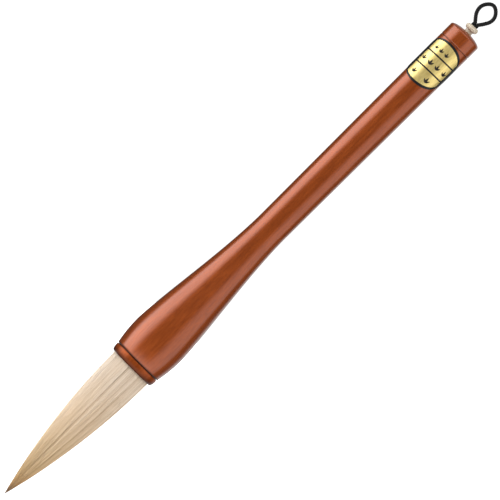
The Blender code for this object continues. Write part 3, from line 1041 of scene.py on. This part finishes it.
    def cap(self) -> None:
        """The rounded cap, whose hollow peg sits in the barrel and holds the knot.

        A shoulder in front of it fills the seam before the barrel almost to the surface.
        """
        low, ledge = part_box("end_cap")[0].z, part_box("cord_leg_left")[0].z
        seam, back = self.rear + self.seam_gap, self.rear + self.cap_gap
        top = back + self.cap_length
        rim = math.acos(self.hole_radius / self.rear_radius) - self.rim_turn
        outline = [
            (self.chamber_radius, low),
            (self.peg_radius, low),
            (self.peg_radius, seam),
            (self.cap_shoulder, seam),
            (self.cap_shoulder, back),
            (self.rear_radius - 2 * self.edge * self.corner, back),
            (self.rear_radius, back + self.edge),
            (self.rear_radius, back + 2 * self.edge),
            *quarter((0.0, top - self.crown), (self.rear_radius, self.crown), (0.0, rim), 22),
            (self.hole_radius, top - self.rim_depth),
            (self.hole_radius, ledge),
            (self.chamber_radius, ledge),
        ]
        # Painted shade in the seam before the cap.
        painted_shade_lines = ((back - 0.5 * self.cap_gap, *self.cap_seam_shade),)
        wood = LacqueredWood("cap_lacquer", painted_shade_lines)
        self.turn("turned_cap", outline, "end_cap", wood, "cap_wood")


@dataclass(frozen=True)
class HairLayer:
    """One layer of hairs.

    Attributes:
        name: The piece's name.
        slot: The record's slot for its finish. It is not used.
        count: How many hairs it has.
        ends: Lowest and highest place of the hairs' ends above the tip.
        depths: Least and greatest depth of the hairs under the tuft's surface.
        thickness: Radius of a hair at its root.
        gather: How strongly the hairs' ends gather at the lowest place, from 1 for not at all.
        nodes: The CAD nodes that it stands for.
    """

    name: str
    slot: str
    count: int
    ends: Pair
    depths: Pair
    thickness: float
    gather: float = 1.0
    nodes: tuple[str, ...] = ()


@dataclass(frozen=True)
class Parting:
    """A dark furrow between two locks of hair.

    Attributes:
        centre: Where it is round the tuft, in degrees from the front towards +X.
        width: Its half width, in degrees.
        depth: Its depth, in millimetres.
        low: Its lower end, in millimetres above the tip.
        high: Its upper end, in millimetres above the tip.
    """

    centre: float
    width: float
    depth: float
    low: float
    high: float

    def strength(self, angle: np.ndarray, width: float) -> np.ndarray:
        """How far inside the parting some angles are, in millimetres of depth.

        Args:
            angle: Angles round the tuft, in degrees.
            width: The half width to take it for, in degrees.

        Returns:
            The full depth in its middle, and nothing far from it.
        """
        away = (angle - self.centre + 180.0) % 360.0 - 180.0
        return self.depth * np.exp(-((away / width) ** 2))


@dataclass
class Tuft:
    """The pointed tuft of hair: a full body with thousands of separate hairs laid over it.

    Attributes:
        fullness: Shape of its outline, from 1 for a sine and fuller below it.
        hair_points: Points along a hair.
        locks: How many locks the hairs gather into towards the tip.
        lock_sway: How unevenly the locks' borders lie, as a share of a lock.
        lock_waves: How often that repeats round the tuft.
        lock_pull: How close to its lock's middle a hair's end comes.
        lock_start: How soon the hairs turn to their lock, later above 1.
        wisps: How many wisps of one tone it has.
        wisp_tones: How much the tone differs between wisps.
        hair_tones: Mean and spread of the tone between hairs.
        painted_side_shade: Painted light and shade across the tuft: how much darker the +X side is and
            lighter the -X side.
        painted_parting_shade: How dark the painted shade makes the hairs beside a parting.
        parting_spread: Half width of that painted shade, as a share of the parting's.
        parting_fade: Over which length a parting fades in and out, in millimetres.
        body_tones: Least and greatest tone of the body under the hairs.
        body_start: Heights above the tip of the body's point and of the first ring of its mesh.
        body_depth: Of the body under the tuft's surface.
        room_radius: Radius above which hairs have their full depth, as a share of the tuft's.
        swell: How far the outermost hairs stand off the CAD.
        sway: Least and greatest sideways sway of a hair, in degrees.
        sway_turns: How often it sways, in radians along its length.
        sway_phase: Where its sway starts, in radians.
        sway_start: Share of its sway at the root. At its end the sway is greater by 1.
        least_radius: How near the axis a hair may come.
        root_reach: How far behind the mouth the hairs start.
        first_share: Where their second point is, just in front of the mouth.
        crowd: How the other points crowd to the root, from 1 for not at all.
        taper: How much thinner a hair is at its end.
        point: Thickness of its last point, as a share.
        bend_reach: How far in front of the mouth the tuft would start and end bending. It is not used.
        pinch: Narrowing from the mouth to the root.
        pinch_length: Over which length it narrows.
        pinch_slack: How much narrower still it is there.
        waist_radius: Of the root under its thread.
        waist_ends: How far past the thread the waist's slopes start and end.
    """

    layers: tuple[HairLayer, ...] = (
        HairLayer(
            "cover_hairs", "cover_hair", 2160, (7.0 * MM, 22.0 * MM), (0.0 * MM, 0.45 * MM), 0.075 * MM,
            nodes=("cover_hair_root", "cover_hair_tip"),
        ),
        HairLayer(
            "mantle_hairs", "mantle_hair", 1100, (2.0 * MM, 11.0 * MM), (0.1 * MM, 0.55 * MM), 0.07 * MM
        ),
        HairLayer(
            "core_hairs", "core_hair", 700, (0.0 * MM, 3.6 * MM), (0.1 * MM, 0.8 * MM), 0.06 * MM, gather=1.7
        ),
    )
    partings: tuple[Parting, ...] = (
        Parting(-5.0, 1.5, 0.60, 9.0, 70.0),
        Parting(-19.0, 1.0, 0.18, 14.0, 52.0),
        Parting(31.0, 1.2, 0.20, 8.0, 44.0),
        Parting(112.0, 1.2, 0.20, 10.0, 62.0),
        Parting(171.0, 1.2, 0.16, 12.0, 60.0),
        Parting(-122.0, 1.2, 0.18, 9.0, 64.0),
    )
    seed: int = 7
    facets: int = 150
    fullness: float = 0.9
    hair_points: int = 12
    locks: int = 34
    lock_sway: float = 0.35
    lock_waves: int = 3
    lock_pull: float = 0.55
    lock_start: float = 1.3
    wisps: int = 160
    wisp_tones: Pair = (-0.4, 0.4)
    hair_tones: Pair = (0.05, 0.28)
    painted_side_shade: float = 0.4
    painted_parting_shade: float = 4.0
    parting_spread: float = 0.8
    parting_fade: Pair = (8.0, 14.0)
    body_tones: Pair = (-1.0, 0.2)
    body_start: Pair = (0.6 * MM, 1.0 * MM)
    body_depth: float = 0.42 * MM
    room_radius: float = 0.4
    swell: float = 0.1 * MM
    sway: Pair = (0.5, 2.0)
    sway_turns: Pair = (3.0, 7.0)
    sway_phase: Pair = (0.0, 6.0)
    sway_start: float = 0.25
    least_radius: float = 0.02 * MM
    root_reach: float = 1.5 * MM
    first_share: float = 0.022
    crowd: float = 0.9
    taper: float = 0.35
    point: float = 0.6
    bend_reach: Pair = (16.3 * MM, 52.3 * MM)
    pinch: float = 0.7 * MM
    pinch_length: float = 3.0 * MM
    pinch_slack: float = 0.05 * MM
    waist_radius: float = 6.6 * MM
    waist_ends: Pair = (0.3 * MM, 0.7 * MM)

    def __post_init__(self) -> None:
        """Reads the tuft's tip, mouth, root and radius from the CAD."""
        self.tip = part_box("core_hair_tip")[0].z
        self.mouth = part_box("mouth_ring")[0].z
        self.root_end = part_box("cover_hair_root")[1].z
        self.length = self.mouth - self.tip
        self.full_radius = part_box("cover_hair_root")[1].x
        self.root_radius = self.full_radius - self.pinch

    def radius(self, height: float) -> float:
        """Radius of the tuft.

        Args:
            height: Where to look, above its tip.

        Returns:
            The radius there.
        """
        if height <= self.length:
            share = max(0.0, height / self.length)
            return self.full_radius * math.sin(math.pi / 2 * share**self.fullness)
        pinch = ease(height, self.length, self.length + self.pinch_length)
        return self.full_radius + (self.root_radius - self.full_radius) * pinch

    def room(self, height: float) -> float:
        """Share of a full depth that there is room for at a height, less towards the tip."""
        return min(1.0, self.radius(height) / (self.room_radius * self.full_radius))

    def parting_depth(self, angle: np.ndarray, height: np.ndarray) -> np.ndarray:
        """How deep the partings between the locks are.

        Args:
            angle: Angles round the tuft from the front, in degrees.
            height: Heights above the tip, in millimetres.

        Returns:
            Depths in metres.
        """
        total = np.zeros(np.broadcast(angle, height).shape)
        fade_in, fade_out = self.parting_fade
        for parting in self.partings:
            low = np.clip((height - parting.low) / fade_in, 0, 1)
            high = np.clip((parting.high - height) / fade_out, 0, 1)
            total += parting.strength(angle, parting.width) * MM * low * high
        return total

    def build(self) -> None:
        """Models the body and the hair layers."""
        finish = HairFinish("brush_hair").make()
        self.body(finish)
        for number, layer in enumerate(self.layers):
            self.hairs(layer, np.random.default_rng(self.seed + number), finish)
        log.info("tuft: %d hairs", sum(layer.count for layer in self.layers))

    def bend(self, piece: bpy.types.Object) -> None:
        """Bakes a piece's place into its mesh.

        Args:
            piece: The piece.
        """
        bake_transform(piece)

    def body(self, finish: bpy.types.Material) -> None:
        """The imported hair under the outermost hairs, down to the bound root in its socket.

        Args:
            finish: What it is dressed in.
        """
        thread_low, thread_high = (corner.z - self.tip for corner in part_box("root_thread"))
        top = self.root_end - self.tip
        (tip, first), (inner, outer) = self.body_start, self.waist_ends
        outline = [
            (0.0, tip),
            *along(lambda h: self.radius(h) - self.body_depth * self.room(h), first, self.length, 40),
            (self.root_radius - self.pinch_slack, self.length + self.pinch_length),
            (self.root_radius, thread_low - outer),
            (self.waist_radius, thread_low - inner),
            (self.waist_radius, thread_high + inner),
            (self.root_radius, thread_high + outer),
            (self.root_radius, top),
            (0.0, top),
        ]
        piece = turn_solid("tuft_body", [(r, h + self.tip) for r, h in outline], self.facets)
        spots = places(piece)
        turn = np.degrees(np.arctan2(spots[:, 0], -spots[:, 1]))
        column = np.round(turn / 360.0 * self.facets).astype(int)
        tones = np.random.default_rng(self.seed).uniform(*self.body_tones, self.facets)
        store(piece, "tone", tones[column % self.facets])
        store(piece, "height", (spots[:, 2] - self.tip) / self.length)
        dress(piece, finish)
        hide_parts("mantle_hair_root", "mantle_hair_tip", "core_hair_root", "core_hair_tip")
        self.bend(piece)

    def tones(self, turn: np.ndarray, draw: np.random.Generator) -> np.ndarray:
        """How light or dark each hair is: the tone of its wisp and its own, with painted light and shade
        across the tuft and painted shade beside the partings.

        Args:
            turn: Where the hairs are round the tuft, in degrees.
            draw: Where the random numbers come from.

        Returns:
            Tones from -1 to 1.
        """
        wisp = draw.uniform(*self.wisp_tones, self.wisps + 1)[np.floor(turn / 360.0 * self.wisps).astype(int)]
        # Painted shade on the hairs beside the partings.
        parting_shade_mask = sum(parting.strength(turn, self.parting_spread * parting.width) for parting in self.partings)
        own = draw.normal(*self.hair_tones, len(turn))
        # Painted light on the -X side and painted shade on the +X side.
        side = self.painted_side_shade * np.sin(np.radians(turn))
        return np.clip(wisp + own - side - self.painted_parting_shade * parting_shade_mask, -1, 1)

    def paths(
        self,
        layer: HairLayer,
        turn: np.ndarray,
        centre: np.ndarray,
        share: np.ndarray,
        draw: np.random.Generator,
    ) -> np.ndarray:
        """Where each hair runs.

        Args:
            layer: The layer's sizes.
            turn: Where the hairs' roots are round the tuft, in degrees.
            centre: Where the middles of their locks are, in degrees.
            share: How far along a hair its points are, as one row.
            draw: Where the random numbers come from.

        Returns:
            Points, as hair, point, coordinate.
        """
        count = layer.count
        end = layer.ends[0] + (layer.ends[1] - layer.ends[0]) * draw.uniform(0, 1, count) ** layer.gather
        depth = draw.uniform(*layer.depths, count)[:, None]
        top = self.length + self.root_reach
        height = top + (end[:, None] - top) * share
        gather = np.clip(1.0 - height / self.length, 0, 1) ** self.lock_start * self.lock_pull
        size, turns, phase = (
            draw.uniform(*limits, (count, 1)) for limits in (self.sway, self.sway_turns, self.sway_phase)
        )
        sway = size * np.sin(share * turns + phase) * (self.sway_start + share)
        angle = turn[:, None] + (centre - turn)[:, None] * gather + sway
        room = np.vectorize(self.room)(height)
        skin = np.vectorize(self.radius)(height) + self.swell * room
        radius = skin - depth * room - self.parting_depth(angle, height / MM)
        radius = np.maximum(radius, self.least_radius)
        angle = np.radians(angle)
        return np.stack([radius * np.sin(angle), -radius * np.cos(angle), height + self.tip], axis=2)

    def hairs(self, layer: HairLayer, draw: np.random.Generator, finish: bpy.types.Material) -> None:
        """Lays the hairs of one layer.

        Args:
            layer: The layer's sizes.
            draw: Where its random numbers come from.
            finish: What its hairs are dressed in.
        """
        count, points = layer.count, self.hair_points
        turn = (np.arange(count) + draw.uniform(0, 1, count)) / count * 360.0
        uneven = self.lock_sway * np.sin(self.lock_waves * np.radians(turn))
        lock = np.floor(turn / 360.0 * self.locks + uneven)
        centre = (lock + 0.5) / self.locks * 360.0
        tone = self.tones(turn, draw)
        rest = np.linspace(0.0, 1.0, points - 1) ** self.crowd
        share = np.concatenate([[0.0], self.first_share + (1.0 - self.first_share) * rest])[None]
        paths = self.paths(layer, turn, centre, share, draw)
        taper = layer.thickness * (1.0 - self.taper * share)
        taper[:, -1] *= self.point
        piece = strands(layer.name, paths, np.broadcast_to(taper, (count, points)))
        each = len(piece.data.vertices) // count
        store(piece, "tone", np.repeat(tone, each))
        store(piece, "height", (places(piece)[:, 2] - self.tip) / self.length)
        dress(piece, finish)
        if layer.nodes:
            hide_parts(*layer.nodes)
        self.bend(piece)


@dataclass
class Bead:
    """The flat round bead, with a thin foot that slides in the cap, round the two legs of the cord.

    Attributes:
        foot_depth: How far the foot reaches into the cap's hole.
        foot_height: From the CAD bead's underside to where the round part starts.
        neck: Between the foot's top and the round part.
        bulge: How far the round part swells past its room, above and below.
        rounding: Width of the rounding, as a share of the half thickness.
        lip: Size of the slope into the bore.
        tilt: Of the round part.
    """

    facets: int = 56
    bore: float = 1.41 * MM
    foot_radius: float = 1.53 * MM
    foot_depth: float = 0.15 * MM
    foot_height: float = 0.4 * MM
    neck: float = 0.1 * MM
    bulge: float = 0.05 * MM
    rounding: float = 0.8
    lip: float = 0.12 * MM
    tilt: float = math.radians(3.0)
    ivory: PlainStuff = PlainStuff(
        "bead_ivory", (0.47, 0.39, 0.28), (0.62, 0.54, 0.43), 0.5, (700.0, 700.0, 3200.0), 0.006 * MM
    )

    def build(self) -> None:
        """Models the bead, a little tilted on its cord."""
        low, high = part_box("bead")
        base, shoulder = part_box("end_cap")[1].z - self.foot_depth, low.z + self.foot_height
        rim, middle = (high.z - shoulder) / 2 + self.bulge, (high.z + shoulder) / 2
        depth = rim * self.rounding
        outline = [
            (self.bore, base),
            (self.foot_radius, base),
            (self.foot_radius, shoulder - self.neck),
            *quarter((high.x - depth, middle), (depth, rim), (-math.pi / 2, math.pi / 2), 20),
            (self.bore + self.lip, middle + rim),
            (self.bore, middle + rim - self.lip),
        ]
        piece = turn_solid("round_bead", outline, self.facets)
        outer = np.linalg.norm(places(piece)[:, :2], axis=1) > self.foot_radius + self.lip
        bpy.ops.object.mode_set(mode="EDIT")
        bpy.ops.mesh.select_mode(type="VERT")
        bpy.ops.mesh.select_all(action="DESELECT")
        bpy.ops.object.mode_set(mode="OBJECT")
        piece.data.vertices.foreach_set("select", outer)
        bpy.ops.object.mode_set(mode="EDIT")
        bpy.ops.transform.rotate(value=self.tilt, orient_axis="Y", center_override=(0.0, 0.0, middle))
        bpy.ops.object.mode_set(mode="OBJECT")
        dress(piece, self.ivory.make())
        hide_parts("bead")
        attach(piece, Body.BEAD.value)
        log.info("bead")


@dataclass
class Label:
    """The oval label round the rear of the barrel: black paper, three gold panels and leaf sprigs.

    Its pieces are modelled flat, x round the barrel from the front and y along it from the label's
    middle, and then wrapped. Angles are from the front, towards +X.

    Attributes:
        radius: The paper's inner radius.
        skew: Rise of the label round the barrel, because it is glued on a little askew.
        paper_half: Half the paper's height. The gold's is gold_half.
        paper_turn: Where the paper's middle is. The gold's is gold_turn.
        paper_wrap: How far the paper reaches to each side.
        paper_arch: Half width of the oval that its edges follow. The gold's is gold_arch.
        gold_ends: Where the gold is cut off at its two sides.
        dividers: Where the black lines between the panels are.
        divider_half: Half their width.
        sprigs: Each sprig's angle in degrees and its place and size in millimetres.
        sprig_sink: How far below its place a sprig starts, as a share of its size.
        leaves: Each leaf's angle in degrees and its length, as a share of the sprig's size.
        leaf_half: Half a leaf's width, as a share of its length.
        leaf_belly: Where a leaf is widest, nearer its foot below 1.
    """

    radius: float = REAR_RADIUS + 0.015 * MM
    skew: float = math.tan(math.radians(1.65))
    paper_half: float = 9.68 * MM
    paper_turn: float = math.radians(-12.4)
    paper_wrap: float = math.radians(93)
    paper_arch: float = math.radians(96)
    gold_half: float = 8.75 * MM
    gold_turn: float = math.radians(-15)
    gold_arch: float = math.radians(92)
    gold_ends: Pair = (math.radians(-61), math.radians(57.5))
    dividers: Pair = (-2.95 * MM, 3.05 * MM)
    divider_half: float = 0.29 * MM
    paper_thickness: float = 0.05 * MM
    foil_thickness: float = 0.02 * MM
    leaf_thickness: float = 0.012 * MM
    sprigs: tuple[tuple[float, float, float], ...] = (
        (-38.0, -5.9, 2.6), (16.0, -5.9, 2.8),
        (-46.0, 0.0, 2.4), (-16.0, 0.0, 2.8), (12.0, 0.0, 2.6), (43.0, 0.0, 2.6),
        (-38.0, 5.6, 2.0), (-17.0, 5.6, 2.2), (5.0, 5.6, 2.2),
    )  # fmt: skip
    sprig_sink: float = 0.45
    leaves: tuple[Pair, ...] = ((52.0, 0.7225), (92.0, 0.85), (134.0, 0.68))
    leaf_half: float = 0.17
    leaf_belly: float = 0.8
    black: PlainStuff = PlainStuff(
        "label_black", (0.006,) * 3, (0.012,) * 3, 0.4, (3000.0,) * 3, 0.005 * MM, gloss=0.25
    )
    gold: GoldFoil = GoldFoil("label_gold")
    ink: PlainStuff = PlainStuff(
        "sprig_black", (0.008, 0.007, 0.006), (0.02, 0.016, 0.012), 0.6, (4000.0,) * 3, gloss=0.2
    )

    def __post_init__(self) -> None:
        """Reads the height of the label's middle from the CAD."""
        low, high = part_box("label")
        self.middle = (low.z + high.z) / 2

    def build(self) -> None:
        """Models the paper, the foil and the ornament."""
        self.paper()
        self.foil()
        self.ornament()
        log.info("label: paper, three panels, %d sprigs", len(self.sprigs))

    def paper(self) -> None:
        """The black paper, which shows as the label's border and dividers."""
        ends = (-self.paper_wrap + self.paper_turn, self.paper_wrap + self.paper_turn)
        paper = self.sheet(
            "label_paper", ends, lambda a: self.arch(a, self.paper_half, self.paper_turn, self.paper_arch),
            (72, 14), self.paper_thickness,
        )
        self.wrap(paper, 0.0)
        dress(paper, self.black.make())
        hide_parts("label")
        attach(paper, Body.HANDLE.value)

    def foil(self) -> None:
        """The three gold panels on the paper."""
        gold = self.gold.make()
        half, (below, above) = self.divider_half, self.dividers
        lower, upper = (-self.gold_half, below - half), (above + half, self.gold_half)
        for number, band in enumerate((lower, (below + half, above - half), upper), start=1):
            panel = self.sheet(
                f"gold_panel_{number}", self.gold_ends, lambda a: self.panel_edges(a, band),
                (48, 6), self.foil_thickness,
            )
            self.wrap(panel, self.paper_thickness)
            dress(panel, gold)
            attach(panel, Body.HANDLE.value)

    @staticmethod
    def arch(angle: float, half: float, turn: float, reach: float) -> Pair:
        """Lower and upper edge at an angle of an oval with its half height, middle and half width."""
        height = half * math.sqrt(max(0.0, 1.0 - ((angle - turn) / reach) ** 2))
        return -height, height

    def panel_edges(self, angle: float, band: Pair) -> Pair:
        """Lower and upper edge at an angle of a gold panel that is a band of the oval."""
        low, high = self.arch(angle, self.gold_half, self.gold_turn, self.gold_arch)
        return max(low, band[0]), min(high, band[1])

    def leaf_edges(self, share: float) -> Pair:
        """Lower and upper edge of a pointed leaf, 1 mm long, at a share of its length."""
        half = self.leaf_half * MM * math.sin(math.pi * min(1.0, max(0.0, share)) ** self.leaf_belly)
        return -half, half

    def sheet(
        self, name: str, ends: Pair, edges: Callable[[float], Pair], cells: tuple[int, int], thickness: float
    ) -> bpy.types.Object:
        """A flat sheet with shaped edges.

        Args:
            name: The piece's name.
            ends: Its first and last angle.
            edges: Its lower and upper edge at an angle.
            cells: How many cells it has round the barrel and along it.
            thickness: Its thickness.

        Returns:
            The flat solid.
        """
        bpy.ops.object.select_all(action="DESELECT")
        bpy.ops.mesh.primitive_grid_add(x_subdivisions=cells[0], y_subdivisions=cells[1], size=1.0)
        piece = bpy.context.object
        piece.name = piece.data.name = name
        spots = places(piece)
        for spot in spots:
            angle = ends[0] + (spot[0] + 0.5) * (ends[1] - ends[0])
            low, high = edges(angle)
            spot[:2] = angle * self.radius, low + (spot[1] + 0.5) * (high - low)
        move(piece, spots)
        wall = piece.modifiers.new("wall", "SOLIDIFY")
        wall.thickness, wall.offset = thickness, 1.0
        bpy.ops.object.modifier_apply(modifier=wall.name)
        bpy.ops.object.mode_set(mode="EDIT")
        bpy.ops.mesh.select_all(action="SELECT")
        bpy.ops.mesh.remove_doubles(threshold=MERGE_DISTANCE)
        bpy.ops.mesh.normals_make_consistent(inside=False)
        bpy.ops.object.mode_set(mode="OBJECT")
        return piece

    def wrap(self, piece: bpy.types.Object, lift: float) -> None:
        """Wraps a flat piece round the barrel.

        Args:
            piece: The piece.
            lift: How far above the paper's inner face it lies.
        """
        x, y, z = places(piece).T
        angle, out = x / self.radius, self.radius + lift + z
        height = self.middle + y + x * self.skew
        move(piece, np.stack([out * np.sin(angle), -out * np.cos(angle), height], axis=1))
        choose(piece)
        bpy.ops.object.shade_smooth_by_angle(angle=SHARP_ANGLE)

    def ornament(self) -> None:
        """The leaf sprigs: one leaf, copied in fans over the panels."""
        reach = MM / self.radius
        leaf = self.sheet(
            "leaf_sprigs", (0.0, reach), lambda a: self.leaf_edges(a / reach),
            (10, 2), self.leaf_thickness,
        )
        shape = leaf.data.copy()
        copies = []
        for angle, height, size in self.sprigs:
            place = (math.radians(angle) * self.radius, (height - self.sprig_sink * size) * MM, 0.0)
            for turn, share in self.leaves:
                copy = bpy.data.objects.new("leaf", shape.copy())
                bpy.context.scene.collection.objects.link(copy)
                grow = Matrix.Diagonal((size * share, size * share, 1.0, 1.0))
                spin = Matrix.Rotation(math.radians(turn), 4, "Z")
                copy.data.transform(Matrix.Translation(place) @ spin @ grow)
                copies.append(copy)
        bpy.data.objects.remove(leaf)
        choose(copies[0])
        for copy in copies:
            copy.select_set(True)
        bpy.ops.object.join()
        sprigs = bpy.context.object
        sprigs.name = sprigs.data.name = "leaf_sprigs"
        self.wrap(sprigs, self.paper_thickness + self.foil_thickness)
        dress(sprigs, self.ink.make())
        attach(sprigs, Body.HANDLE.value)


@dataclass
class InnerParts:
    """The binding thread, rosin seal and glue, hidden in the barrel's socket.

    Attributes:
        finishes: Each CAD node, the record's slot for its finish, and the finish.
    """

    finishes: tuple[tuple[str, str, PlainStuff], ...] = (
        ("root_thread", "binding_thread",
         PlainStuff("thread_flax", (0.38, 0.33, 0.24), (0.62, 0.56, 0.44), 0.8, (1500.0, 1500.0, 9000.0))),
        ("root_seal", "rosin", PlainStuff("seal_rosin", (0.10, 0.04, 0.012), (0.22, 0.10, 0.035), 0.25)),
        ("glue_bed", "glue", PlainStuff("bed_glue", (0.32, 0.19, 0.07), (0.52, 0.34, 0.15), 0.4)),
    )  # fmt: skip

    def build(self) -> None:
        """Dresses the hidden CAD nodes."""
        for node, slot, finish in self.finishes:
            dress(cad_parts[node], finish.make())
        log.info("inner parts")


def main() -> None:
    """Builds the studio and every piece of the brush."""
    logging.basicConfig(level=logging.INFO, format="%(name)s: %(message)s")
    Studio().build()
    for part in (CordLoop(), Handle(), Tuft(), Bead(), Label(), InnerParts()):
        part.build()


if __name__ == "__main__":
    main()
